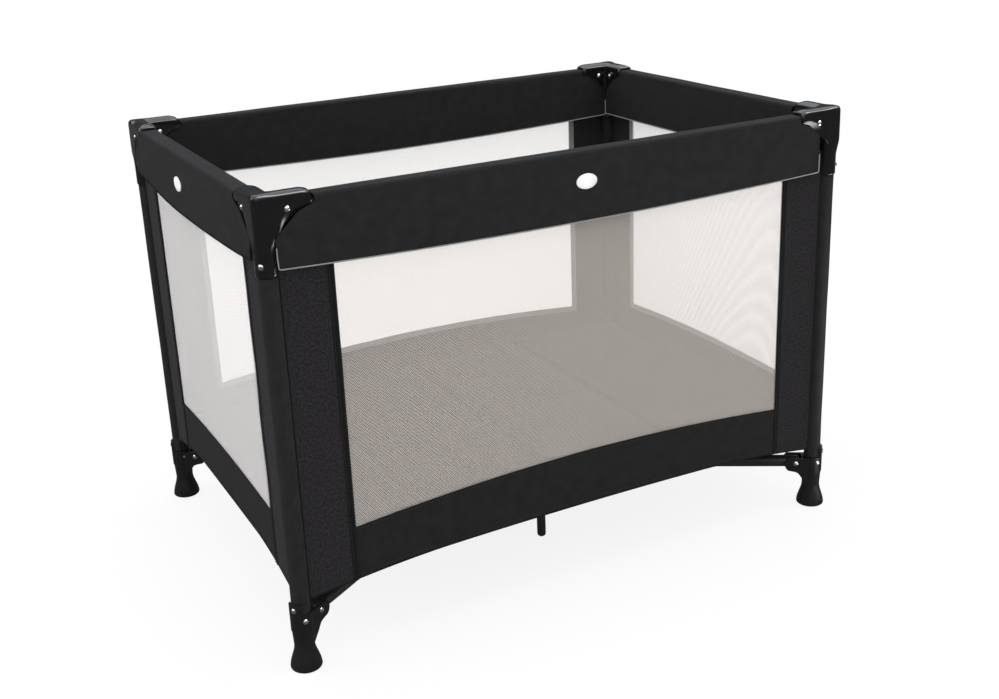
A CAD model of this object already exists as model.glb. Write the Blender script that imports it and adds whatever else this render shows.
"""Cloth, net, padding, trim and finishes for a folding playpen.

Metres, +Z up, X along the long sides, Y along the short sides, floor at zero.  A side piece is
worked out in its side's own coordinates: along (left to right seen from outside), out (from the
leg axes outward) and up.  Each side is sewn in two halves, one for each leg it hangs on, so that
both halves can gather toward their legs when the pen folds.
"""

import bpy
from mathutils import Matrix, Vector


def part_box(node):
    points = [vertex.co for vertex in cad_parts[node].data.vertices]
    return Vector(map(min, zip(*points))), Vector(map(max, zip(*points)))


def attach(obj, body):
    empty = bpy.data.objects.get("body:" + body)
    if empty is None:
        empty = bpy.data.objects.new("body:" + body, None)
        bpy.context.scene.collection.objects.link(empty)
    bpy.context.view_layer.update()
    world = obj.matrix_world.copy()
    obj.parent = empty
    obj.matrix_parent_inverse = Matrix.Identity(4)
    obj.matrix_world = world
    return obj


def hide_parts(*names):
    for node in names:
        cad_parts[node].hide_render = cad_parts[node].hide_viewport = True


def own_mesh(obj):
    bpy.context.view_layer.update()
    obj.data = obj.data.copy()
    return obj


bl_info = {
    "name": "Folding Playpen Dressing",
    "version": (1, 0, 0),
    "blender": (4, 5, 0),
    "location": "View3D > Sidebar > Playpen",
    "description": "Cloth, net, padding, trim and finishes for a folding playpen",
    "category": "Object",
}

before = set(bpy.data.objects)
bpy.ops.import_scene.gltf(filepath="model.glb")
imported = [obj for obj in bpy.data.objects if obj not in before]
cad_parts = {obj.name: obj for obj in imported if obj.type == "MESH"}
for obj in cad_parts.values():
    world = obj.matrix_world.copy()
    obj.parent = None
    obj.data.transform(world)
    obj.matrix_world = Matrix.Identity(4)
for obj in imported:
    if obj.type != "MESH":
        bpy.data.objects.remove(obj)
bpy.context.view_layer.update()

from math import atan2, cos, pi, radians, sin, sqrt

import bmesh
import bpy
import numpy
from mathutils import Matrix, Vector, noise

MM = 0.001

# ---------- places read from the frame
CORNERS = {
    "front_left": (-1, -1),
    "front_right": (1, -1),
    "back_left": (-1, 1),
    "back_right": (1, 1),
}
# along and outward directions, then the corner at each end of the side
SIDES = {
    "front": ((1, 0), (0, -1), ("front_left", "front_right")),
    "right": ((0, 1), (1, 0), ("front_right", "back_right")),
    "back": ((-1, 0), (0, 1), ("back_right", "back_left")),
    "left": ((0, -1), (-1, 0), ("back_left", "front_left")),
}
HALVES = [(side, end) for side in SIDES for end in (-1, 1)]


def middle(node_name):
    """Centre of a node's box."""
    low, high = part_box(node_name)
    return (low + high) / 2


LEG = middle("leg_tube_front_right")
HALF_X, HALF_Y = LEG.x, -LEG.y
HOUSING_LOW, PEN_HEIGHT = (corner.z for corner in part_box("corner_housing_front_left"))
HOUSING_OUT = 17.0 * MM  # face of a housing arm, outward from the leg axis
RAIL_Z = middle("top_rail_front_left").z
COLLAR_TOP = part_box("foot_front_left")[1].z
FOOT_TOP = COLLAR_TOP - 19 * MM  # where its collar begins
WALL_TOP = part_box("wall_front")[1].z
WALL_OUT = 5.0 * MM  # outer face of the wall cloth
WALL_DRAWN = WALL_OUT - 0.3 * MM  # the same before its folds
NET_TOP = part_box("net_front")[1].z
NET_OUT = -HALF_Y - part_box("net_front")[0].y
BAND_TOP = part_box("top_band_front")[1].z
BAND_OUT = -HALF_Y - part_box("top_band_front")[0].y

# from the leg axis to the window, height of its sill at the corner and at mid side
WINDOW = {"long": (98.7 * MM, 216 * MM, 238 * MM), "short": (92.5 * MM, 230 * MM, 238 * MM)}
# height of the hem at the leg, a quarter of the side in, and at mid side
HEM = {"long": (113 * MM, 137.8 * MM, 140.8 * MM), "short": (118 * MM, 150.8 * MM, 151.8 * MM)}
# where a wall panel begins, from the leg axis
PANEL_EDGE = {"long": 13.5 * MM, "short": 15.0 * MM}
# lower edge of the band: below the rail at each leg in millimetres, and its height at mid side
BAND_END_DROP = {"front": (84, 84), "back": (84, 84), "left": (61, 72), "right": (82, 82)}
BAND_MID_Z = {side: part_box(f"top_band_{side}")[0].z for side in SIDES}
# least distance of the band from the leg at the slack end
SLACK_END = {("front", 1): 31 * MM}
# outline of a housing arm, in millimetres: up from the floor, then out from the leg axis
ARM_OUTLINE = (
    (683, 11.5), (695, 11.5), (729, 48), (739, 74.2), (743, 74.5), (748, 73.8), (752, 72),
)


def kind_of(side):
    """Whether a side is long or short."""
    return "long" if side in ("front", "back") else "short"


def half_of(side):
    """Half the distance between the leg axes of a side, and from the middle out to it."""
    return (HALF_X, HALF_Y) if kind_of(side) == "long" else (HALF_Y, HALF_X)


def leg_of(side, end):
    """Corner at one end of a side."""
    return SIDES[side][2][end > 0]


def label_of(side, end):
    """Name of a half side, seen from outside."""
    return f"{side}_{'left' if end < 0 else 'right'}"


def at(side, along, out, up):
    """A point in a side's coordinates as a point of the frame."""
    (ax, ay), (ox, oy), _ = SIDES[side]
    reach = half_of(side)[1] + out
    return Vector((ax * along + ox * reach, ay * along + oy * reach, up))


def smooth(low, high, value):
    """Smooth step from 0 at low to 1 at high."""
    t = min(max((value - low) / (high - low), 0.0), 1.0)
    return t * t * (3 - 2 * t)


def hem_height(side, along):
    """Lower edge of the walls: low at the legs, nearly level along the middle."""
    t = abs(along) / half_of(side)[0]
    corner, near, mid = HEM[kind_of(side)]
    if t < 0.5:
        return mid - (mid - near) * (t / 0.5) ** 2
    s = (t - 0.5) / 0.5
    return near - (near - corner) * (0.35 * s + 0.65 * s * s)


def sill_height(side, along):
    """Lower edge of the window, arched up toward mid side."""
    start, corner, mid = WINDOW[kind_of(side)]
    reach = half_of(side)[0] - start
    return corner + (mid - corner) * (1 - min(abs(along) / reach, 1.0) ** 2)


def band_edge(side, along):
    """Lower edge of the top band, lowest at mid side."""
    t = abs(along) / half_of(side)[0]
    mid = BAND_MID_Z[side]
    return mid + (RAIL_Z - BAND_END_DROP[side][along > 0] * MM - mid) * t * t


def arm_start(up):
    """How far from the leg axis the band may begin at a height, clear of the housing arm."""
    height = up / MM
    previous = ARM_OUTLINE[0]
    if height <= previous[0]:
        # a little further off below the arm
        return (13.0 - 1.5 * smooth(640, previous[0], height)) * MM
    for point in ARM_OUTLINE[1:]:
        if height <= point[0]:
            share = (height - previous[0]) / (point[0] - previous[0])
            return (previous[1] + share * (point[1] - previous[1])) * MM
        previous = point
    return previous[1] * MM


# ---------- mesh helpers
def link(name, data):
    """A new object at the origin."""
    obj = bpy.data.objects.new(name, data)
    bpy.context.scene.collection.objects.link(obj)
    return obj


def mesh_object(name, points, faces, layout=None, materials=(), face_materials=None):
    """An object from points and faces, with a UV for each point in metres."""
    mesh = bpy.data.meshes.new(name)
    mesh.from_pydata([tuple(p) for p in points], [], faces)
    if layout:
        uv = mesh.uv_layers.new(name="UVMap")
        for loop in mesh.loops:
            uv.data[loop.index].uv = layout[loop.vertex_index]
    for finish in materials:
        mesh.materials.append(material(finish))
    if face_materials:
        mesh.polygons.foreach_set("material_index", face_materials)
    mesh.shade_smooth()
    return link(name, mesh)


def grid_faces(rows, columns, offset=0, closed=False, flip=False):
    """Quads over rows of points, each row joined to the next."""
    faces = []
    for r in range(rows - 1):
        for c in range(columns if closed else columns - 1):
            a, b = offset + r * columns + c, offset + r * columns + (c + 1) % columns
            quad = (a, b, b + columns, a + columns)
            faces.append(quad[::-1] if flip else quad)
    return faces


def bake(obj):
    """Apply every modifier, as one plain mesh."""
    graph = bpy.context.evaluated_depsgraph_get()
    mesh = bpy.data.meshes.new_from_object(obj.evaluated_get(graph))
    mesh.name = name = obj.name
    obj.modifiers.clear()
    if obj.type != "MESH":
        bpy.data.objects.remove(obj)
        return link(name, mesh)
    old, obj.data = obj.data, mesh
    bpy.data.meshes.remove(old)
    return obj


def thicken(obj, thickness):
    """Give cloth its thickness inward from the drawn face."""
    solid = obj.modifiers.new("Thickness", "SOLIDIFY")
    solid.thickness = thickness
    solid.offset = -1
    solid.use_even_offset = True
    cloth = bake(obj)
    # keeps the cut edges from tinting the faces beside them
    cloth.data.set_sharp_from_angle(angle=radians(50))
    return cloth


def voxel_skin(obj, size):
    """Remesh an object into even voxels."""
    remesh = obj.modifiers.new("Skin", "REMESH")
    remesh.mode = "VOXEL"
    remesh.voxel_size = size
    return bake(obj)


def dress(obj, finish):
    """Give a whole object one finish and smooth it."""
    obj.data.materials.clear()
    obj.data.materials.append(material(finish))
    obj.data.shade_smooth()


def crumple(point, size, amount, seed):
    """A smooth random push, in metres, for soft folds."""
    at_point = Vector(point) / size + Vector((seed * 7.3, seed * 3.1, seed * 5.7))
    return amount * noise.noise(at_point)


def follow_leg(obj, side, end):
    """Hang a half side on the leg at its end; it gathers toward that leg as the pen folds."""
    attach(obj, f"leg_{leg_of(side, end)}")
    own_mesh(obj)


def follow_rail(obj, side, end):
    """Carry a half band on its rail half; it closes round the rail as the pen folds."""
    across, along = leg_of(side, end).split("_")
    first, second = (across, along) if kind_of(side) == "long" else (along, across)
    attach(obj, f"rail_{first}_{second}")
    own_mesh(obj)


# ---------- materials
def new_material(name, colour, roughness, specular=0.5):
    """A Principled material; returns the material, its tree and the shader."""
    made = bpy.data.materials.new(name)
    made.use_nodes = True
    made.diffuse_color = (*colour, 1)
    tree = made.node_tree
    shader = tree.nodes["Principled BSDF"]
    shader.inputs["Base Color"].default_value = (*colour, 1)
    shader.inputs["Roughness"].default_value = roughness
    shader.inputs["Specular IOR Level"].default_value = specular
    return made, tree, shader


def node(tree, kind, inputs=None, **settings):
    """A node with its settings and its inputs, each a value or another node's output."""
    made = tree.nodes.new(kind)
    for key, value in settings.items():
        setattr(made, key, value)
    for key, value in (inputs or {}).items():
        if isinstance(value, bpy.types.NodeSocket):
            tree.links.new(value, made.inputs[key])
        else:
            made.inputs[key].default_value = value
    return made


def math(tree, operation, first, second):
    """Output of a Math node."""
    return node(tree, "ShaderNodeMath", {0: first, 1: second}, operation=operation).outputs[0]


def vector_math(tree, operation, first, second=None):
    """Outputs of a Vector Math node."""
    inputs = {0: first} if second is None else {0: first, 1: second}
    return node(tree, "ShaderNodeVectorMath", inputs, operation=operation).outputs


def coordinates(tree, space):
    """The named output of Texture Coordinate."""
    return node(tree, "ShaderNodeTexCoord").outputs[space]


def ramp(tree, value, start, end, low=0.0, high=1.0, curve="SMOOTHSTEP"):
    """A value that goes from low to high between start and end."""
    span = {"Value": value, "From Min": start, "From Max": end, "To Min": low, "To Max": high}
    return node(tree, "ShaderNodeMapRange", span, interpolation_type=curve).outputs["Result"]


def speckle(tree, place, scale, detail):
    """Noise over a piece."""
    inputs = {"Vector": place, "Scale": scale, "Detail": detail}
    return node(tree, "ShaderNodeTexNoise", inputs).outputs["Fac"]


def ribs(tree, place, pitch, distortion, direction):
    """Ribs one pitch apart; the bands of a Wave repeat every 0.314 / scale."""
    inputs = {"Vector": place, "Scale": 0.314 / pitch, "Distortion": distortion, "Detail": 0.0}
    return node(tree, "ShaderNodeTexWave", inputs, bands_direction=direction).outputs["Fac"]


def mottle(tree, shader, place, colour, less, more, scale, detail=3.0):
    """Base colour that varies softly between two shades of one colour."""
    patches = node(tree, "ShaderNodeValToRGB", {"Fac": speckle(tree, place, scale, detail)})
    for stop, position, strength in zip(patches.color_ramp.elements, (0.35, 0.65), (less, more)):
        stop.position = position
        stop.color = (*(c * strength for c in colour), 1)
    tree.links.new(patches.outputs["Color"], shader.inputs["Base Color"])


def relief(tree, shader, height, strength, distance, under=None):
    """Relief in the surface, on top of another; returns its normal."""
    inputs = {"Height": height, "Strength": strength, "Distance": distance}
    if under:
        inputs["Normal"] = under
    normal = node(tree, "ShaderNodeBump", inputs).outputs["Normal"]
    tree.links.new(normal, shader.inputs["Normal"])
    return normal


def woven_cloth(name, colour, pitch, fleck, roughness=0.75, sheen=0.03, specular=0.03):
    """Plain weave on the piece's own UV map, with a soft change of shade along the threads."""
    made, tree, shader = new_material(name, colour, roughness, specular)
    shader.inputs["Sheen Weight"].default_value = sheen
    shader.inputs["Sheen Roughness"].default_value = 0.45
    place = coordinates(tree, "UV")
    patch_scale = 260 if fleck > 0.15 else 45
    mottle(tree, shader, place, colour, 1 - fleck, 1 + fleck, patch_scale, 4.0)
    weave = math(tree, "MAXIMUM", *(ribs(tree, place, pitch, 0.4, way) for way in "XY"))
    slubs = math(tree, "MULTIPLY", speckle(tree, place, 600.0, 2.0), 0.6)
    threads = relief(tree, shader, math(tree, "ADD", weave, slubs), 0.35, 0.4 * MM)
    relief(tree, shader, speckle(tree, place, 14.0, 3.0), 0.25, 3 * MM, under=threads)
    return made


def open_net(name, colour, pitch, hole):
    """Knitted net: rows of round holes, each row half a hole on from the last."""
    made, tree, shader = new_material(name, colour, 0.7, 0.2)
    place = coordinates(tree, "UV")
    scaled = vector_math(tree, "MULTIPLY", place, (1 / pitch, 1 / (pitch * sqrt(3)), 0))[0]
    near = []
    for shift in ((0, 0, 0), (0.5, 0.5, 0)):
        moved = vector_math(tree, "ADD", scaled, shift)[0]
        inside = vector_math(tree, "FRACTION", moved)[0]
        centred = vector_math(tree, "SUBTRACT", inside, (0.5, 0.5, 0))[0]
        even = vector_math(tree, "MULTIPLY", centred, (1, sqrt(3), 0))[0]
        near.append(vector_math(tree, "LENGTH", even)["Value"])
    thread = ramp(tree, math(tree, "MINIMUM", *near), hole - 0.04, hole + 0.04)
    tree.links.new(thread, shader.inputs["Alpha"])
    relief(tree, shader, speckle(tree, place, 900.0, 2.0), 0.4, 0.3 * MM)
    return made


def moulded_plastic(name, colour, roughness, grain, specular=0.5, coat=0.0):
    """Moulded plastic or coated steel, with a fine grain and a slight change of gloss."""
    made, tree, shader = new_material(name, colour, roughness, specular)
    shader.inputs["Coat Weight"].default_value = coat
    shader.inputs["Coat Roughness"].default_value = 0.12
    place = coordinates(tree, "Object")
    mottle(tree, shader, place, colour, 0.88, 1.12, 30)
    wear = speckle(tree, place, 18.0, 4.0)
    gloss = ramp(tree, wear, 0.3, 0.7, roughness * 0.8, min(roughness * 1.3, 1.0), "LINEAR")
    tree.links.new(gloss, shader.inputs["Roughness"])
    relief(tree, shader, speckle(tree, place, 1400.0, 2.0), grain, 0.3 * MM)
    return made


def turned_steel(name, colour):
    """Bright rivet steel with fine scratches."""
    made, tree, shader = new_material(name, colour, 0.24)
    shader.inputs["Metallic"].default_value = 1.0
    place = coordinates(tree, "Object")
    mottle(tree, shader, place, colour, 0.85, 1, 120)
    relief(tree, shader, speckle(tree, place, 2500.0, 3.0), 0.15, 0.1 * MM)
    return made


def webbing(name, colour):
    """Ribbed strap webbing."""
    made, tree, shader = new_material(name, colour, 0.8, 0.25)
    place = coordinates(tree, "Object")
    mottle(tree, shader, place, colour, 0.8, 1.25, 90)
    relief(tree, shader, ribs(tree, place, 1.6 * MM, 0.3, "Y"), 0.6, 0.6 * MM)
    return made


# cloth finishes: the colour's setting, pitch of the threads, fleck, roughness, sheen, specular
WOVEN = {
    "band_cloth": ("band", 0.7 * MM, 0.1, 0.62, 0.03, 0.03),
    "wall_cloth": ("wall", 0.7 * MM, 0.1),
    "corner_cloth": ("corner", 1.1 * MM, 0.3, 0.9, 0.04, 0.02),
    "sleeve_cloth": ("band", 0.6 * MM, 0.1, 0.5, 0.03, 0.08),
    "binding_tape": ("binding", 0.9 * MM, 0.1),
    "piping_cord": ("piping", 0.8 * MM, 0.1, 0.6, 0.1, 0.3),
    "net_tape": ("tape", 0.8 * MM, 0.1),
    "thread": ("thread", 0.3 * MM, 0.05),
    "mattress_cover": ("mattress", 0.9 * MM, 0.12),
    "floor_cloth": ("wall", 0.9 * MM, 0.1),
}
# moulded and coated finishes: colour, roughness, grain, specular, coat
MOULDED = {
    "housing_gloss": ((0.005, 0.005, 0.0053), 0.17, 0.04, 0.5, 0.15),
    "foot_plastic": ((0.009, 0.009, 0.0095), 0.36, 0.1, 0.3),
    "latch_plastic": ((0.015, 0.015, 0.016), 0.45, 0.3),
    "button_plastic": ((0.19, 0.19, 0.2), 0.4, 0.15),
    "hub_plastic": ((0.014, 0.014, 0.015), 0.5, 0.4),
    "oval_plastic": ((0.78, 0.78, 0.78), 0.5, 0.03, 0.3),
    "tube_coat": ((0.014, 0.014, 0.015), 0.42, 0.25),
}
MATERIALS = {}


def make_material(key):
    """A new material for a finish."""
    tint = bpy.context.scene.playpen_colours
    if key in WOVEN:
        setting, *weave = WOVEN[key]
        return woven_cloth(key, tuple(getattr(tint, setting)), *weave)
    if key in MOULDED:
        return moulded_plastic(key, *MOULDED[key])
    if key == "rivet_steel":
        return turned_steel(key, (0.78, 0.78, 0.78))
    if key == "strap_web":
        return webbing(key, (0.016, 0.016, 0.017))
    if key == "net_knit":
        return open_net(key, tuple(tint.net), tint.net_pitch, tint.net_hole)
    if key == "side_net_knit":
        return open_net(key, tuple(tint.side_net), tint.net_pitch, tint.side_net_hole)
    raise KeyError(key)


def material(key):
    """A material by the name of its finish, made when it is first asked for."""
    if key not in MATERIALS:
        MATERIALS[key] = make_material(key)
    return MATERIALS[key]


# ---------- geometry node trees
def new_tree(name, inputs):
    """A geometry tree with its input node: Geometry, the named lengths and Material."""
    tree = bpy.data.node_groups.new(name, "GeometryNodeTree")
    add = tree.interface.new_socket
    add("Geometry", in_out="INPUT", socket_type="NodeSocketGeometry")
    add("Geometry", in_out="OUTPUT", socket_type="NodeSocketGeometry")
    for label in inputs:
        add(label, in_out="INPUT", socket_type="NodeSocketFloat")
    add("Material", in_out="INPUT", socket_type="NodeSocketMaterial")
    return tree, tree.nodes.new("NodeGroupInput").outputs


def close_tree(tree, source, geometry):
    """End a tree in real geometry of its own material."""
    real = node(tree, "GeometryNodeRealizeInstances", {"Geometry": geometry})
    inputs = {"Geometry": real.outputs[0], "Material": source["Material"]}
    dressed = node(tree, "GeometryNodeSetMaterial", inputs)
    node(tree, "NodeGroupOutput", {"Geometry": dressed.outputs[0]})
    return tree


def stored(tree, geometry, name, value, kind="FLOAT", domain="POINT"):
    """Geometry that keeps a value under a name."""
    inputs = {"Geometry": geometry, "Name": name, "Value": value}
    kept = node(
        tree, "GeometryNodeStoreNamedAttribute", inputs, data_type=kind, domain=domain
    )
    return kept.outputs[0]


def cord_tree():
    """Round cord along a curve, with a UV of metres along it and round it."""
    tree, source = new_tree("Sewn Cord", ("Radius", "Spacing"))
    even = node(
        tree,
        "GeometryNodeResampleCurve",
        {"Curve": source["Geometry"], "Length": source["Spacing"]},
        mode="LENGTH",
    )
    ring = node(
        tree, "GeometryNodeCurvePrimitiveCircle", {"Resolution": 8, "Radius": source["Radius"]}
    )
    travelled = node(tree, "GeometryNodeSplineParameter").outputs["Length"]
    swept = node(
        tree,
        "GeometryNodeCurveToMesh",
        {
            "Curve": stored(tree, even.outputs[0], "along", travelled),
            "Profile Curve": stored(tree, ring.outputs[0], "around", travelled),
            "Fill Caps": True,
        },
    )
    read = [
        node(tree, "GeometryNodeInputNamedAttribute", {"Name": name}).outputs["Attribute"]
        for name in ("along", "around")
    ]
    pair = node(tree, "ShaderNodeCombineXYZ", {0: read[0], 1: read[1]}).outputs[0]
    mapped = stored(tree, swept.outputs[0], "UVMap", pair, "FLOAT2", "CORNER")
    smooth_faces = node(tree, "GeometryNodeSetShadeSmooth", {"Geometry": mapped})
    return close_tree(tree, source, smooth_faces.outputs[0])


def stitch_tree():
    """Short thread stitches set end to end along a curve."""
    tree, source = new_tree("Stitch Row", ("Pitch", "Stitch Length", "Thread Radius"))
    points = node(
        tree,
        "GeometryNodeCurveToPoints",
        {"Curve": source["Geometry"], "Length": source["Pitch"]},
        mode="LENGTH",
    ).outputs
    thread = node(
        tree,
        "GeometryNodeMeshCylinder",
        {"Vertices": 6, "Radius": source["Thread Radius"], "Depth": source["Stitch Length"]},
    )
    placed = node(
        tree,
        "GeometryNodeInstanceOnPoints",
        {
            "Points": points["Points"],
            "Instance": thread.outputs["Mesh"],
            "Rotation": points["Rotation"],
        },
    )
    return close_tree(tree, source, placed.outputs[0])


TREES = {"Sewn Cord": cord_tree, "Stitch Row": stitch_tree}


def sewn_along(name, paths, tree_name, values):
    """Run a tree along open paths with its inputs by name; returns one plain mesh."""
    curve = bpy.data.curves.new(name, "CURVE")
    curve.dimensions = "3D"
    for path in paths:
        spline = curve.splines.new("POLY")
        spline.points.add(len(path) - 1)
        for point, place in zip(spline.points, path):
            point.co = (*place, 1)
    obj = link(name, curve)
    modifier = obj.modifiers.new("Sewing", "NODES")
    modifier.node_group = bpy.data.node_groups.get(tree_name) or TREES[tree_name]()
    for item in modifier.node_group.interface.items_tree:
        if item.in_out == "INPUT" and item.name in values:
            modifier[item.identifier] = values[item.name]
    return bake(obj)


def sewn_cord(name, paths, radius, finish, spacing=6 * MM):
    """Cord or welt along paths."""
    values = {"Radius": radius, "Spacing": spacing, "Material": material(finish)}
    return sewn_along(name, paths, "Sewn Cord", values)


def stitched(name, paths):
    """Rows of stitches along paths."""
    values = {
        "Pitch": 3.6 * MM,
        "Stitch Length": 2.4 * MM,
        "Thread Radius": 0.32 * MM,
        "Material": material("thread"),
    }
    return sewn_along(name, paths, "Stitch Row", values)


# ---------- settings
def length(name, description, value):
    """A length setting."""
    return bpy.props.FloatProperty(
        name=name, description=description, default=value, subtype="DISTANCE"
    )


def hole(name, description, value):
    """Radius of a net's holes, as a share of its pitch."""
    return bpy.props.FloatProperty(
        name=name, description=description, default=value, min=0.1, max=0.49, subtype="FACTOR"
    )


def shade(name, description, value):
    """A colour setting in linear light."""
    return bpy.props.FloatVectorProperty(
        name=name, description=description, default=value, size=3, min=0, max=1, subtype="COLOR"
    )


class PlaypenCloth(bpy.types.PropertyGroup):
    """Sizes of the cloth work."""

    band_swell: length("Band Swell", "How far a band stands out between its edges", 3.0 * MM)
    band_cloth: length("Band Thickness", "Thickness of the padded cloth", 1.4 * MM)
    wall_cloth: length("Wall Thickness", "Thickness of the wall cloth", 1.2 * MM)
    net_depth: length("Net Depth", "Thickness of the knitted net", 0.35 * MM)
    binding_width: length("Binding Width", "Tape on the upright edges of a window", 11.0 * MM)
    piping_radius: length("Piping Radius", "Radius of the cord in a band's edges", 1.1 * MM)
    fold_depth: length("Fold Depth", "Height of the soft folds in the cloth", 1.2 * MM)


class PlaypenColours(bpy.types.PropertyGroup):
    """Colours of the cloth, and the colours and holes of the nets."""

    band: shade("Bands", "Padded bands and leg sleeves", (0.0158, 0.0158, 0.0164))
    wall: shade("Walls", "Lower wall panels", (0.0145, 0.0140, 0.0148))
    corner: shade("Corners", "Matt corner panels", (0.0182, 0.0170, 0.0184))
    binding: shade("Binding", "Tape beside the windows", (0.009, 0.0088, 0.0092))
    piping: shade("Piping", "Cord in the band's edges", (0.2, 0.2, 0.2))
    tape: shade("Net Tape", "Tape inside round the net", (0.2, 0.2, 0.2))
    thread: shade("Thread", "Stitches", (0.03, 0.03, 0.032))
    net: shade("Net", "Knitted net", (0.84, 0.778, 0.722))
    side_net: shade("Side Net", "Knitted net of the short sides", (0.88, 0.85, 0.84))
    mattress: shade("Mattress", "Mattress cover", (0.013, 0.013, 0.0135))
    net_pitch: length("Net Pitch", "Distance between holes of the net", 2.6 * MM)
    net_hole: hole("Net Hole", "Radius of a hole as a share of the pitch", 0.456)
    side_net_hole: hole("Side Net Hole", "The same in the closer side nets", 0.418)


class PlaypenStage(bpy.types.PropertyGroup):
    """Floor and light."""

    key_power: bpy.props.FloatProperty(
        name="Key Light", description="Power of the large lamp overhead", default=20.0
    )
    side_power: bpy.props.FloatProperty(
        name="Side Light", description="Power of the lamp on the left", default=21.0
    )
    fill: bpy.props.FloatProperty(
        name="Fill", description="Light from all round", default=1.2, min=0
    )


# ---------- walls
WALL_FINISHES = ("corner_cloth", "binding_tape", "wall_cloth")


def wall_panel(part, side, end, columns, rows, top, raised, kinds):
    """Half a wall panel from the hem up, hung on its leg.

    Its columns are distances from the leg.  Its top is a function of the place along the side,
    how far it is raised a function of the distance from the leg.
    """
    cloth = bpy.context.scene.playpen_cloth
    half, seam, fade = half_of(side)[0], PANEL_EDGE[kind_of(side)], 50 * MM
    points, layout = [], []
    for r in range(rows + 1):
        for from_leg in columns:
            along = end * (half - from_leg)
            hem = hem_height(side, along)
            up = hem + (top(along) - hem) * r / rows
            # soft folds, which die away at the seam
            place, depth = (along, half, up * 1.3), 0.8 * cloth.fold_depth
            fold = crumple(place, size=0.11, amount=depth, seed=3 + len(side))
            push = raised(from_leg) + smooth(0, fade, from_leg - seam) * fold
            points.append(at(side, along, WALL_DRAWN + push, up))
            layout.append((along, up))
    faces = grid_faces(rows + 1, len(columns), flip=end > 0)
    name = f"{part}_{label_of(side, end)}"
    panel = mesh_object(name, points, faces, layout, WALL_FINISHES, kinds * rows)
    panel = thicken(panel, cloth.wall_cloth)
    follow_leg(panel, side, end)
    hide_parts(f"wall_{side}")


def make_corner_panel(side, end):
    """Matt panel beside a leg, with the binding tape along its window edge."""
    start, edge = WINDOW[kind_of(side)][0], PANEL_EDGE[kind_of(side)]
    bind = start - bpy.context.scene.playpen_cloth.binding_width
    matt, bevel, tape_proud = 8, 1.5 * MM, 0.7 * MM
    columns = [edge + (bind - edge) * i / matt for i in range(matt + 1)]
    columns += [bind + bevel, start - bevel, start]
    wall_panel(
        "corner_panel", side, end, columns, rows=44,
        top=lambda along: WALL_TOP,
        raised=lambda from_leg: tape_proud if bind < from_leg < start else 0.0,
        kinds=[0] * matt + [1] * 3,
    )


def make_lower_panel(side, end):
    """Panel below the window, from its hem to the arched sill, tucked under the binding."""
    half, start = half_of(side)[0], WINDOW[kind_of(side)][0]
    first = start - bpy.context.scene.playpen_cloth.binding_width + 2 * MM
    count, tucked = 36, -0.9 * MM
    columns = [first + (half - first) * c / count for c in range(count + 1)]
    wall_panel(
        "lower_panel", side, end, columns, rows=12,
        top=lambda along: sill_height(side, along),
        raised=lambda from_leg: tucked * (1 - smooth(start, start + 6 * MM, from_leg)),
        kinds=[2] * count,
    )


def path_to_middle(side, end, reach, out, edge, above):
    """A path from so far along a side to its middle, above one of its edges."""
    path, count = [], 60
    for i in range(count + 1):
        along = end * reach * (1 - i / count)
        path.append(at(side, along, out, edge(side, along) + above))
    return path


def make_wall_trim(side, end):
    """Stitches beside the binding, over the hem and under the sill, and the cord in the hem."""
    half, start = half_of(side)[0], WINDOW[kind_of(side)][0]
    out, over_tape, over_cloth = WALL_OUT + 0.5 * MM, 0.6 * MM, 0.4 * MM
    top = WALL_TOP - 20 * MM  # the band covers the rest
    rows = []
    for from_leg in (start - 2.0 * MM, start - 9.0 * MM):
        along = end * (half - from_leg)
        low = hem_height(side, along)
        heights = (low + (top - low) * i / 40 for i in range(41))
        rows.append([at(side, along, out + over_tape, up) for up in heights])
    out += over_cloth
    rows.append(path_to_middle(side, end, half - 20 * MM, out, hem_height, 8 * MM))
    rows.append(path_to_middle(side, end, half - start - 2 * MM, out, sill_height, -4 * MM))
    hem = path_to_middle(side, end, half - 16 * MM, WALL_OUT - 0.8 * MM, hem_height, 0.6 * MM)
    label = label_of(side, end)
    for trim in (
        stitched(f"wall_stitches_{label}", rows),
        sewn_cord(f"wall_hem_{label}", [hem], 1.3 * MM, "binding_tape"),
    ):
        follow_leg(trim, side, end)


def turn_from(start, angle):
    """Turn from one angle to another, from -pi to pi."""
    return atan2(sin(angle - start), cos(angle - start))


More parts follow.
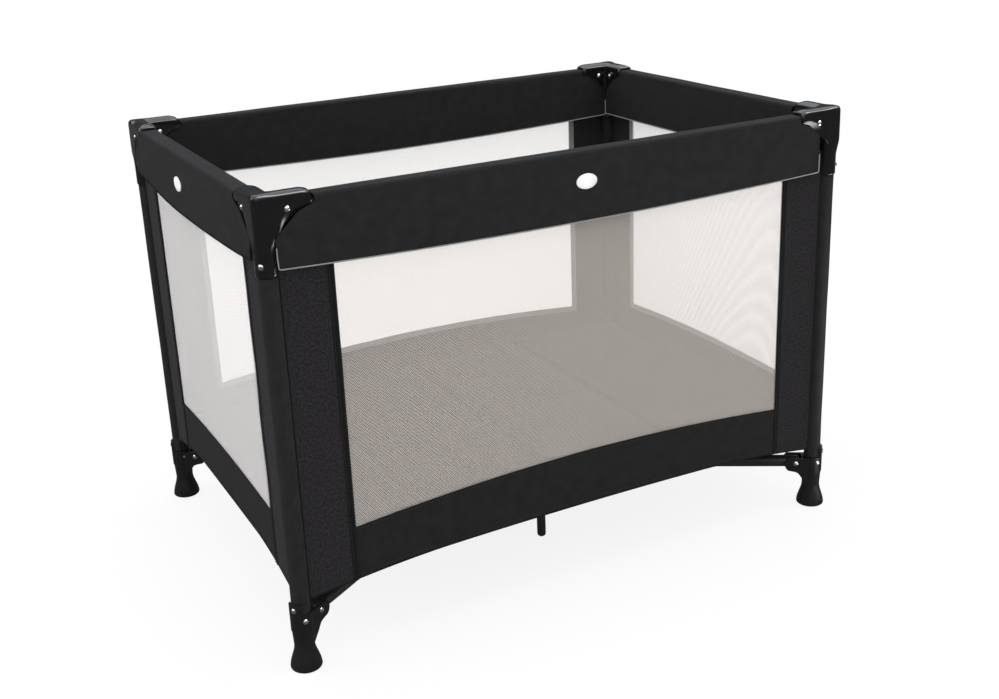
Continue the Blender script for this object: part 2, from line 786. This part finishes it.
def make_sleeve(corner):
    """Cloth sleeve round a leg, with a sewn ridge where each wall joins it."""
    sx, sy = CORNERS[corner]
    low, high = FOOT_TOP + 0.6 * MM, HOUSING_LOW - 1.5 * MM
    depth = 0.35 * bpy.context.scene.playpen_cloth.fold_depth
    around, rows = 48, 60
    tight, loose = 14.6 * MM, 15 * MM
    collar_side, collar_turn, seam_turn = 1.18 * pi, (0.74, 1.0), 0.3
    points, layout = [], []
    for r in range(rows + 1):
        for c in range(around):
            angle = 2 * pi * c / around
            # the sleeve stops above the collar on the outer side of the foot
            outward = abs(turn_from(collar_side, angle))
            first = low + (COLLAR_TOP - 3 * MM - low) * (1 - smooth(*collar_turn, outward))
            up = first + (high - first) * r / rows
            place = (cos(angle) * 0.04, sin(angle) * 0.04, up * 0.35)
            radius = tight + crumple(place, size=0.03, amount=depth, seed=9 + sx + 2 * sy)
            # the walls pull the cloth out where they are sewn on
            for seam in (0.0, pi / 2):
                radius += 0.5 * MM * max(0.0, 1 - abs(turn_from(seam, angle)) / seam_turn)
            x, y = HALF_X - cos(angle) * radius, HALF_Y - sin(angle) * radius
            points.append(Vector((sx * x, sy * y, up)))
            layout.append((angle * loose, up))
    faces = grid_faces(rows + 1, around, closed=True, flip=sx * sy < 0)
    sleeve = mesh_object(f"leg_sleeve_{corner}", points, faces, layout, ["sleeve_cloth"])
    sleeve = thicken(sleeve, 1.0 * MM)
    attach(sleeve, f"leg_{corner}")
    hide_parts("wall_front" if sy < 0 else "wall_back")
    # a welt on each wall's line, where it leaves the sleeve
    welts, outside, past = [], -4.0 * MM, 15.5 * MM
    for in_x, in_y in ((outside, past), (past, outside)):
        x, y = sx * (HALF_X - in_x), sy * (HALF_Y - in_y)
        welts.append([Vector((x, y, low + (high - low) * i / 40)) for i in range(41)])
    welt = sewn_cord(f"sleeve_welts_{corner}", welts, 1.3 * MM, "binding_tape", 12 * MM)
    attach(welt, f"leg_{corner}")


# ---------- corner housings
def make_housing(corner):
    """Corner housing with its edges rounded off and a hollow moulded into each gusset edge."""
    sx, sy = CORNERS[corner]
    node_name = f"corner_housing_{corner}"
    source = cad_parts[node_name]
    mesh = source.data.copy()
    mesh.transform(source.matrix_world)
    # the nose is closed above the rail
    build = bmesh.new()
    build.from_mesh(mesh)
    nose, above_rail = 66 * MM, 17.6 * MM
    thick, broad = 8 * MM, 25 * MM
    for x, y, size in (
        (HALF_X - nose, HALF_Y, (thick, broad, thick)),
        (HALF_X, HALF_Y - nose, (broad, thick, thick)),
    ):
        place = Matrix.Translation((sx * x, sy * y, RAIL_Z + above_rail))
        bmesh.ops.create_cube(build, size=1, matrix=place @ Matrix.Diagonal((*size, 1)))
    build.to_mesh(mesh)
    build.free()
    shell = voxel_skin(link(f"housing_shell_{corner}", mesh), size=1.3 * MM)
    count = len(shell.data.vertices)
    flat = numpy.empty(count * 3, dtype=numpy.float32)
    shell.data.vertices.foreach_get("co", flat)
    places = flat.reshape(-1, 3).astype(numpy.float64)
    # each hollow is a shallow ball cut across the middle of a gusset edge
    radius, depth = 90 * MM, 3.2 * MM
    gusset, below_rail = 27 * MM, 24 * MM
    for inward, outward, x, y in (
        (Vector((-sx, 0, 0)), Vector((0, sy, 0)), HALF_X - gusset, HALF_Y + HOUSING_OUT),
        (Vector((0, -sy, 0)), Vector((sx, 0, 0)), HALF_X + HOUSING_OUT, HALF_Y - gusset),
    ):
        deepest = Vector((sx * x, sy * y, RAIL_Z - below_rail)) - outward * depth
        tilt = (inward * 0.35 + outward * 0.93 - Vector((0, 0, 0.1))).normalized()
        push = numpy.array(outward)
        away = places - numpy.array(deepest + tilt * radius)
        along = away @ push
        across = (away * away).sum(axis=1) - along * along
        inside = (along * along + across < radius * radius) & (along < 0)
        target = -numpy.sqrt(numpy.maximum(radius * radius - across, 0))
        places[inside] += (target - along)[inside][:, None] * push
    # the roofs are crowned, the side arm's more than the other
    axes = (HALF_X, HALF_Y)
    for across, along, crown in ((0, 1, 6.5 * MM), (1, 0, 2 * MM)):
        wide = numpy.abs(places[:, across] - (sx, sy)[across] * axes[across]) / HOUSING_OUT
        inner = axes[along] - numpy.abs(places[:, along])
        start = numpy.clip((inner - 2 * MM) / (16 * MM), 0, 1)
        rise = numpy.clip((places[:, 2] - PEN_HEIGHT + 4 * MM) / (3 * MM), 0, 1)
        places[:, 2] -= crown * start * rise * numpy.minimum(wide, 1.0) ** 2
    shell.data.vertices.foreach_set("co", places.astype(numpy.float32).ravel())
    top = shell.vertex_groups.new(name="top")
    top.add([i for i in range(count) if places[i, 2] > RAIL_Z + 4 * MM], 1.0, "REPLACE")
    for iterations, group in ((8, ""), (22, "top")):
        even = shell.modifiers.new("Round off", "SMOOTH")
        even.factor, even.iterations, even.vertex_group = 0.5, iterations, group
    shell = bake(shell)
    dress(shell, "housing_gloss")
    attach(shell, f"leg_{corner}")
    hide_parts(node_name)


# ---------- nets
def make_net(side, end):
    """Half a net panel in two thin layers, and the tape that holds its edge inside the wall."""
    cloth = bpy.context.scene.playpen_cloth
    start, corner_sill, _ = WINDOW[kind_of(side)]
    half, label = half_of(side)[0], label_of(side, end)
    margin, taut = 9 * MM, 60 * MM
    reach = half - start + margin
    columns, rows = 24, 24
    points, layout, faces = [], [], []
    for layer in range(2):
        faces += grid_faces(rows + 1, columns + 1, offset=len(points), flip=end > 0)
        for r in range(rows + 1):
            for c in range(columns + 1):
                along = end * reach * (1 - c / columns)
                low = sill_height(side, along) - margin
                up = low + (NET_TOP - low) * r / rows
                # it hangs slack inward away from its edges
                slack = smooth(0, taut, up - low) * smooth(0, taut, reach - abs(along))
                place = (along, half, up)
                push = slack * crumple(place, size=0.16, amount=1.6 * MM, seed=11 + len(side))
                out = NET_OUT + min(push, 0.0) - layer * cloth.net_depth
                points.append(at(side, along, out, up))
                layout.append((along, up))
    knit = "net_knit" if kind_of(side) == "long" else "side_net_knit"
    net = mesh_object(f"net_panel_{label}", points, faces, layout, [knit])
    follow_leg(net, side, end)
    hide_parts(f"net_{side}")
    # tape round the window inside: down its side and along the sill
    width, count = 11 * MM, 30
    inside = NET_OUT - cloth.net_depth - 0.3 * MM
    sill = sill_height(side, half - start)
    ring = []
    for i in range(count + 1):
        up = NET_TOP + (sill - NET_TOP) * i / count
        ring += [(half - start, up), (half - start + width, up - (width if i == count else 0))]
    for i in range(1, count + 1):
        along = (half - start) * (1 - i / count)
        up = sill_height(side, along)
        ring += [(along, up), (along, up - width)]
    points = [at(side, end * along, inside, up) for along, up in ring]
    faces = grid_faces(len(ring) // 2, 2, flip=end < 0)
    tape = mesh_object(f"net_tape_{label}", points, faces, ring, ["net_tape"])
    tape = thicken(tape, 0.5 * MM)
    follow_leg(tape, side, end)


# ---------- top bands
FLANK_ROWS = 18  # rows of points up each face of a band
BAND_ROUND = 6.0 * MM  # rounding of its shoulders


def band_section(side, along):
    """Across a band from its outer to its inner edge, as rows of out, up, share and face.

    The share runs from 0 at the edge to 1 at the shoulder; the face is 1 outside, 0 over the
    top and -1 inside.
    """
    low, shoulder = band_edge(side, along), BAND_TOP - BAND_ROUND
    flank = []
    for i in range(FLANK_ROWS + 1):
        share = i / FLANK_ROWS
        flank.append((low + (shoulder - low) * share, share))
    bend = []
    for i in range(1, 6):
        angle = pi / 2 * i / 5
        bend.append((BAND_OUT - BAND_ROUND * (1 - cos(angle)), shoulder + BAND_ROUND * sin(angle)))
    return [
        *((BAND_OUT, up, share, 1) for up, share in flank),
        *((out, up, 1.0, 0) for out, up in bend),
        (0.0, BAND_TOP, 1.0, 0),
        *((-out, up, 1.0, 0) for out, up in reversed(bend)),
        *((-BAND_OUT, up, share, -1) for up, share in reversed(flank)),
    ]


def make_band(side, end):
    """Half a padded band over the rails, cut round the housing arm, with its piping."""
    cloth = bpy.context.scene.playpen_cloth
    half, label = half_of(side)[0], label_of(side, end)
    column, row_pitch, fade = 9 * MM, 6.5 * MM, 90 * MM
    steps = int(half / column)
    clear_of_leg, clear_inside = 12 * MM, 5.5 * MM
    rows, layout = [], []
    for r, (_, up, share, face) in enumerate(band_section(side, 0.0)):
        # found in rounds, because the row's height depends on where it starts
        from_leg = arm_start(up)
        least = clear_of_leg + (clear_inside if face < 0 else 0.0)
        least = max(least, SLACK_END.get((side, end), 0))
        for _ in range(3):
            up = band_section(side, end * (half - from_leg))[r][1]
            from_leg = max(arm_start(up), least)
        row = []
        for c in range(steps + 1):
            t = c / steps
            along = end * (half - (from_leg + (half - from_leg) * t))
            out, up = band_section(side, along)[r][:2]
            ease = smooth(0, fade, half - from_leg - abs(along)) if t < 1 else 1.0
            # the mattress slides up past the inner faces, so they swell less
            swell = (face if face > 0 else 0.3 * face) * cloth.band_swell
            swell *= ease * sin(pi * min(share * 1.02, 1.0)) ** 0.8
            place = (along, half * 3 + face, up * 1.6)
            fold = crumple(place, size=0.13, amount=cloth.fold_depth, seed=21 + len(side))
            soft = ease * fold
            lift = 0.0 if face else soft * 0.4
            shift = swell + face * soft
            if ease < 0.3 and face:
                limit = HOUSING_OUT - 0.2 * MM - abs(out)
                shift = min(shift, limit) if face > 0 else max(shift, -limit)
            row.append(at(side, along, out + shift, up + lift))
            layout.append((along, r * row_pitch))
        rows.append(row)
    faces = grid_faces(len(rows), steps + 1, flip=end > 0)
    points = [point for row in rows for point in row]
    band = mesh_object(f"band_{label}", points, faces, layout, ["band_cloth"])
    band = thicken(band, cloth.band_cloth)
    follow_rail(band, side, end)
    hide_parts(f"top_band_{side}")
    # down the end below the housing arm, then along the lower edge, outside and inside
    paths = []
    for face in (1, -1):
        proud = at(side, 0, face * 0.6 * MM, 0) - at(side, 0, 0, 0)
        flank = rows[::face][: FLANK_ROWS + 1]
        riser = [row[0] for row in flank if row[0].z <= ARM_OUTLINE[0][0] * MM]
        paths.append([point + proud for point in riser[::-1] + flank[0][1:]])
    finish = "binding_tape" if side == "left" else "piping_cord"
    piping = sewn_cord(f"band_piping_{label}", paths, cloth.piping_radius, finish, 5 * MM)
    follow_rail(piping, side, end)


def make_oval(side):
    """Plain white oval on the middle of a band, slightly domed."""
    shift = {"front": 7 * MM, "left": -24 * MM}.get(side, 0.0)
    centre_z = RAIL_Z - 31 * MM
    face = BAND_OUT + bpy.context.scene.playpen_cloth.band_swell
    long_radius, short_radius, dome, rim = 18.6 * MM, 12.1 * MM, 3.2 * MM, -0.6 * MM
    rings, around = 6, 40
    points = [at(side, shift, face + dome, centre_z)]
    for r in range(1, rings + 1):
        t = r / rings
        rise = dome * (1 - t ** 3) if r < rings else rim
        scale = min(t * rings / (rings - 1), 1.0)
        for c in range(around):
            angle = 2 * pi * c / around
            along = shift + long_radius * scale * cos(angle)
            up = centre_z + short_radius * scale * sin(angle)
            points.append(at(side, along, face + rise, up))
    faces = [(0, 1 + c, 1 + (c + 1) % around) for c in range(around)]
    for r in range(rings - 1):
        for c in range(around):
            a, b = 1 + r * around + c, 1 + r * around + (c + 1) % around
            faces.append((a, a + around, b + around, b))
    last = 1 + (rings - 1) * around
    faces.append(tuple(last + c for c in reversed(range(around))))
    oval = mesh_object(f"band_oval_{side}", points, faces, None, ["oval_plastic"])
    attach(oval, f"latch_{side}")


# ---------- floor and mattress
def make_floor(corner):
    """A quarter of the floor sheet: one part on its base tube, one at the leg."""
    sx, sy = CORNERS[corner]
    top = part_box("floor_sheet")[1]
    border, notch, slot_x, slot_y = 7 * MM, 17 * MM, 9 * MM, 36 * MM
    leg_part_from = 430 * MM  # along the base tube
    hub_edge, sagging, taut = 60 * MM, 200 * MM, 80 * MM
    xs = [top.x * i / 30 for i in range(30)]
    xs += [top.x - border + border * i / 4 for i in range(5)]
    ny = 20
    points, layout = [], []
    for j in range(ny + 1):
        for x in xs:
            y = top.y * j / ny
            sag = smooth(hub_edge, sagging, sqrt(x * x + y * y))
            sag *= smooth(0, taut, min(top.x - x, top.y - y))
            up = top.z - 2 * MM * sag
            up += sag * crumple((x, y, sx + sy), size=0.1, amount=1.0 * MM, seed=31)
            # its border turns up to the hem of a short side
            hem = hem_height("left", y) + 1 * MM
            up += max(0.0, hem - top.z) * smooth(top.x - border, top.x - 2 * MM, x)
            points.append(Vector((sx * x, sy * y, up)))
            layout.append((sx * x, sy * y))
    tube = middle(f"base_tube_{corner}")
    out_along = Vector((tube.x, tube.y, 0)).normalized()
    main_part, leg_part = [], []
    for face in grid_faces(ny + 1, len(xs), flip=sx * sy < 0):
        centre = sum((points[i] for i in face), Vector()) / 4
        in_slot = abs(centre.x) < slot_x and abs(centre.y) < slot_y
        at_leg = abs(centre.x) > HALF_X - notch and abs(centre.y) > HALF_Y - notch
        if not (in_slot or at_leg):
            (leg_part if centre.dot(out_along) > leg_part_from else main_part).append(face)
    corner_flat = (225 * MM, 332 * MM)
    corner_area = corner_flat[0] * corner_flat[1] / 2
    for name, faces, body, flat, area in (
        ("floor_cloth", main_part, "base", (top.x, top.y), top.x * top.y - corner_area),
        ("floor_corner", leg_part, "leg", corner_flat, corner_area),
    ):
        used = sorted({i for face in faces for i in face})
        place = {old: new for new, old in enumerate(used)}
        sheet = mesh_object(
            f"{name}_{corner}",
            [points[i] for i in used],
            [tuple(place[i] for i in face) for face in faces],
            [layout[i] for i in used],
            ["floor_cloth"],
        )
        sheet = thicken(sheet, 1.2 * MM)
        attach(sheet, f"{body}_{corner}")
        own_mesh(sheet)
        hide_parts("floor_sheet")


def blow_up(pad, pressure, cap):
    """Swell a pad as cloth under pressure, no further than the cap at any point."""
    scene, frames = bpy.context.scene, 16
    modifier = pad.modifiers.new("Swell", "CLOTH")
    settings = modifier.settings
    settings.use_pressure = True
    settings.uniform_pressure_force = pressure
    settings.effector_weights.gravity = 0
    settings.quality = 5
    settings.tension_stiffness = settings.compression_stiffness = 20
    settings.bending_stiffness = 2
    modifier.point_cache.frame_start, modifier.point_cache.frame_end = 1, frames
    for number in range(1, frames + 1):
        scene.frame_set(number)
        swollen = pad.evaluated_get(bpy.context.evaluated_depsgraph_get())
    moved = [vert.co.copy() for vert in swollen.data.vertices]
    pad.modifiers.remove(modifier)
    scene.frame_set(1)
    for vert, end in zip(pad.data.vertices, moved):
        move = end - vert.co
        if move.length > cap:
            move *= cap / move.length
        vert.co += move


def make_mattress(number):
    """One stiff padded panel of the mattress, swollen from its plain solid."""
    node_name = f"mattress_panel_{number}"
    low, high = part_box(node_name)
    centre = middle(node_name)
    shrink = 1.6 * MM
    mesh = bpy.data.meshes.new(f"mattress_pad_{number}")
    work = bmesh.new()
    work.from_mesh(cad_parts[node_name].data)
    bmesh.ops.remove_doubles(work, verts=work.verts, dist=0.01 * MM)
    for vert in work.verts:
        for i in range(3):
            half = (high[i] - low[i]) / 2
            vert.co[i] = centre[i] + (vert.co[i] - centre[i]) * (half - shrink) / half
    bmesh.ops.recalc_face_normals(work, faces=work.faces)
    work.to_mesh(mesh)
    work.free()
    pad = voxel_skin(link(mesh.name, mesh), size=6.5 * MM)
    blow_up(pad, pressure=3.0, cap=2.5 * MM)
    for vert in pad.data.vertices:
        vert.co.z = max(vert.co.z, low.z + 0.2 * MM)
    surface = pad.modifiers.new("Smooth", "SUBSURF")
    surface.levels = surface.render_levels = 1
    pad = bake(pad)
    # each face is laid out along the two axes that it faces least
    uv = pad.data.uv_layers.new(name="UVMap")
    for face in pad.data.polygons:
        facing = max(range(3), key=lambda axis: abs(face.normal[axis]))
        axes = [axis for axis in range(3) if axis != facing]
        for loop, vert in zip(face.loop_indices, face.vertices):
            uv.data[loop].uv = [pad.data.vertices[vert].co[axis] for axis in axes]
    dress(pad, "mattress_cover")
    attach(pad, f"mattress_{number}")
    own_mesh(pad)
    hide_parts(node_name)


# ---------- finishes of the rigid nodes
# finish of a rigid node by the start of its name; the longest that fits counts
FINISHES = {
    "tube_coat": ("leg_tube", "base_tube", "top_rail", "support_leg"),
    "housing_gloss": ("corner_housing",),
    "foot_plastic": ("foot",),
    "rivet_steel": ("leg_rivets", "hub_pins"),
    "button_plastic": ("latch_button",),
    "latch_plastic": ("latch",),
    "hub_plastic": ("hub",),
    "strap_web": ("pull_strap",),
    "mattress_cover": ("mattress",),
    "floor_cloth": ("floor_sheet",),
    "wall_cloth": ("wall",),
    "net_knit": ("net",),
    "band_cloth": ("top_band",),
}


def finish_nodes():
    """Give each rigid node its finish."""
    starts = {start: finish for finish, names in FINISHES.items() for start in names}
    for name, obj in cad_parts.items():
        finish = starts[max((start for start in starts if name.startswith(start)), key=len)]
        for slot in obj.material_slots:
            slot.material = material(finish)
        if not obj.material_slots:
            obj.data.materials.append(material(finish))


# ---------- stage
WHITE = (1, 1, 1, 1)


def make_camera():
    """Camera a little above the rail height, off the front left corner."""
    lens = bpy.data.cameras.new("Camera")
    lens.sensor_width = 36.0
    lens.lens = 45.84
    lens.shift_x, lens.shift_y = 0.0139, -0.0349
    lens.clip_end = 50
    right = Vector((0.88247, -0.46862, -0.04065))
    up = Vector((0.18885, 0.27382, 0.94306))
    back = Vector((-0.43080, -0.83989, 0.33014))
    turn = Matrix((right, up, back)).transposed().to_4x4()
    camera = link("Camera", lens)
    camera.matrix_world = Matrix.Translation((-1.0185, -2.0030, 1.16555)) @ turn
    bpy.context.scene.camera = camera


def lamp(name, place, target, size, power, colour=(1, 1, 1)):
    """Soft rectangular lamp that points at a target."""
    light = bpy.data.lights.new(name, "AREA")
    light.shape = "RECTANGLE"
    light.size, light.size_y = size
    light.energy = power
    light.color = colour
    obj = link(name, light)
    obj.location = place
    obj.rotation_euler = (Vector(target) - Vector(place)).to_track_quat("-Z", "Y").to_euler()


def glow(tree, kind, strength, colour=WHITE):
    """Output of a Background or an Emission."""
    return node(tree, f"ShaderNode{kind}", {"Color": colour, "Strength": strength}).outputs[0]


def mixed(tree, share, first, second):
    """Output of a Mix Shader."""
    return node(tree, "ShaderNodeMixShader", {0: share, 1: first, 2: second}).outputs[0]


def ray_kinds(tree):
    """Whether a ray is mirrored in gloss, and whether the floor or the room is seen itself."""
    path = node(tree, "ShaderNodeLightPath").outputs
    seen = math(tree, "MAXIMUM", path["Is Camera Ray"], path["Is Transmission Ray"])
    return path["Is Glossy Ray"], seen


def make_world(fill):
    """Even fill light, seen as plain white."""
    world = bpy.data.worlds.new("Studio")
    world.use_nodes = True
    tree = world.node_tree
    tree.nodes.clear()
    direction = coordinates(tree, "Generated")
    # mirrored in gloss, the room is dim at the sides, pale overhead, and has one bright lamp
    height = node(tree, "ShaderNodeSeparateXYZ", {0: direction}).outputs["Z"]
    overhead = ramp(tree, height, 0.36, 0.6, 0.1, 1.6)
    toward_lamp = vector_math(tree, "DOT_PRODUCT", direction, (0.46, -0.33, 0.82))["Value"]
    room = math(tree, "ADD", overhead, ramp(tree, toward_lamp, 0.93, 0.98, 0.0, 9.0))
    glossy, seen = ray_kinds(tree)
    mirrored = glow(tree, "Background", room, (0.93, 0.96, 1, 1))
    lit = mixed(tree, glossy, glow(tree, "Background", fill), mirrored)
    whole = mixed(tree, seen, lit, glow(tree, "Background", 1.0))
    node(tree, "ShaderNodeOutputWorld", {"Surface": whole}).is_active_output = True
    bpy.context.scene.world = world


def make_stage_floor():
    """Plain pale floor that reads as white and keeps a soft shadow under the pen."""
    bpy.ops.mesh.primitive_plane_add(size=1, location=(0, 0, 0))
    floor = bpy.context.object
    floor.name = "studio_floor"
    floor.data.transform(Matrix.Diagonal((40, 40, 1, 1)))
    made, tree, shader = new_material("studio_floor", (0.85, 0.85, 0.85), 0.9, 0.0)
    place = coordinates(tree, "Object")
    glossy, seen = ray_kinds(tree)
    # whiter away from the pen
    reach = vector_math(tree, "LENGTH", place)["Value"]
    share = math(tree, "MULTIPLY", seen, ramp(tree, reach, 0.8, 2.4, 0.86))
    white = mixed(tree, share, shader.outputs[0], glow(tree, "Emission", 1.0))
    # mirrored in gloss, the floor is dim but for a bright patch to the right of the pen
    parts = node(tree, "ShaderNodeSeparateXYZ", {0: place}).outputs
    patch = ramp(tree, parts["X"], 0.45, 0.7, 0.0, 7.0)
    for axis, *edge in (
        ("Y", -1.25, -0.95, 0.0, 1.0),
        ("X", 1.2, 1.5, 1.0, 0.0),
        ("Y", -0.65, -0.45, 1.0, 0.0),
    ):
        patch = math(tree, "MULTIPLY", patch, ramp(tree, parts[axis], *edge))
    mirrored = glow(tree, "Emission", math(tree, "ADD", patch, 0.12))
    surface = tree.nodes["Material Output"].inputs["Surface"]
    tree.links.new(mixed(tree, glossy, white, mirrored), surface)
    floor.data.materials.append(made)


# ---------- operators
class PLAYPEN_OT_finishes(bpy.types.Operator):
    """Give the frame, the fittings and the fasteners their finishes"""

    bl_idname = "playpen.finishes"
    bl_label = "Finishes"

    def execute(self, context):
        finish_nodes()
        return {"FINISHED"}


class PLAYPEN_OT_walls(bpy.types.Operator):
    """Sew the fabric walls with their bindings, hems and stitches"""

    bl_idname = "playpen.walls"
    bl_label = "Walls"

    def execute(self, context):
        for side, end in HALVES:
            make_corner_panel(side, end)
            make_lower_panel(side, end)
            make_wall_trim(side, end)
        return {"FINISHED"}


class PLAYPEN_OT_sleeves(bpy.types.Operator):
    """Wrap the legs in their cloth sleeves"""

    bl_idname = "playpen.sleeves"
    bl_label = "Leg Sleeves"

    def execute(self, context):
        for corner in CORNERS:
            make_sleeve(corner)
        return {"FINISHED"}


class PLAYPEN_OT_housings(bpy.types.Operator):
    """Round off the corner housings"""

    bl_idname = "playpen.housings"
    bl_label = "Corner Housings"

    def execute(self, context):
        for corner in CORNERS:
            make_housing(corner)
        return {"FINISHED"}


class PLAYPEN_OT_nets(bpy.types.Operator):
    """Hang the nets and the tapes that hold them"""

    bl_idname = "playpen.nets"
    bl_label = "Nets"

    def execute(self, context):
        for side, end in HALVES:
            make_net(side, end)
        return {"FINISHED"}


class PLAYPEN_OT_bands(bpy.types.Operator):
    """Make the padded top bands with their piping and ovals"""

    bl_idname = "playpen.bands"
    bl_label = "Top Bands"

    def execute(self, context):
        for side, end in HALVES:
            make_band(side, end)
            if end > 0:
                make_oval(side)
        return {"FINISHED"}


class PLAYPEN_OT_floor(bpy.types.Operator):
    """Stretch the floor sheet and lay the mattress on it"""

    bl_idname = "playpen.floor"
    bl_label = "Floor and Mattress"

    def execute(self, context):
        for corner in CORNERS:
            make_floor(corner)
        for number in range(1, 5):
            make_mattress(number)
        return {"FINISHED"}


class PLAYPEN_OT_stage(bpy.types.Operator):
    """Set up the floor, the lamps and the camera"""

    bl_idname = "playpen.stage"
    bl_label = "Stage"

    def execute(self, context):
        stage = context.scene.playpen_stage
        make_camera()
        make_world(stage.fill)
        make_stage_floor()
        lamp("Key", (0.4, -0.6, 3.2), (0, 0, 0.4), (2.6, 1.8), stage.key_power)
        lamp("Left", (-3.0, 0.8, 2.0), (0, 0, 0.5), (1.6, 1.6), stage.side_power, (0.86, 0.92, 1))
        lamp("Front", (-0.6, -3.4, 1.7), (0, 0, 0.4), (2.0, 1.4), stage.side_power * 0.28)
        context.scene.view_settings.view_transform = "Standard"
        return {"FINISHED"}


OPERATORS = (
    PLAYPEN_OT_finishes,
    PLAYPEN_OT_walls,
    PLAYPEN_OT_sleeves,
    PLAYPEN_OT_housings,
    PLAYPEN_OT_nets,
    PLAYPEN_OT_bands,
    PLAYPEN_OT_floor,
    PLAYPEN_OT_stage,
)


class PLAYPEN_PT_panel(bpy.types.Panel):
    """Playpen settings and steps"""

    bl_idname = "PLAYPEN_PT_panel"
    bl_label = "Playpen"
    bl_space_type = "VIEW_3D"
    bl_region_type = "UI"
    bl_category = "Playpen"

    def draw(self, context):
        for group in ("playpen_cloth", "playpen_colours", "playpen_stage"):
            settings = getattr(context.scene, group)
            box = self.layout.box()
            for key in settings.__annotations__:
                box.prop(settings, key)
        for operator in OPERATORS:
            self.layout.operator(operator.bl_idname)


GROUPS = (
    (PlaypenCloth, "playpen_cloth"),
    (PlaypenColours, "playpen_colours"),
    (PlaypenStage, "playpen_stage"),
)


def register():
    """Register the settings, the operators and the panel."""
    for group, name in GROUPS:
        bpy.utils.register_class(group)
        setattr(bpy.types.Scene, name, bpy.props.PointerProperty(type=group))
    for cls in (*OPERATORS, PLAYPEN_PT_panel):
        bpy.utils.register_class(cls)


def unregister():
    """Take the panel, the operators and the settings out again."""
    for cls in reversed((*OPERATORS, PLAYPEN_PT_panel)):
        bpy.utils.unregister_class(cls)
    for group, name in reversed(GROUPS):
        delattr(bpy.types.Scene, name)
        bpy.utils.unregister_class(group)


def main():
    """Dress the playpen, set the stage and note the sizes."""
    register()
    for operator in OPERATORS:
        getattr(bpy.ops.playpen, operator.bl_idname.split(".")[1])()
    bpy.context.view_layer.update()


if __name__ == "__main__":
    main()
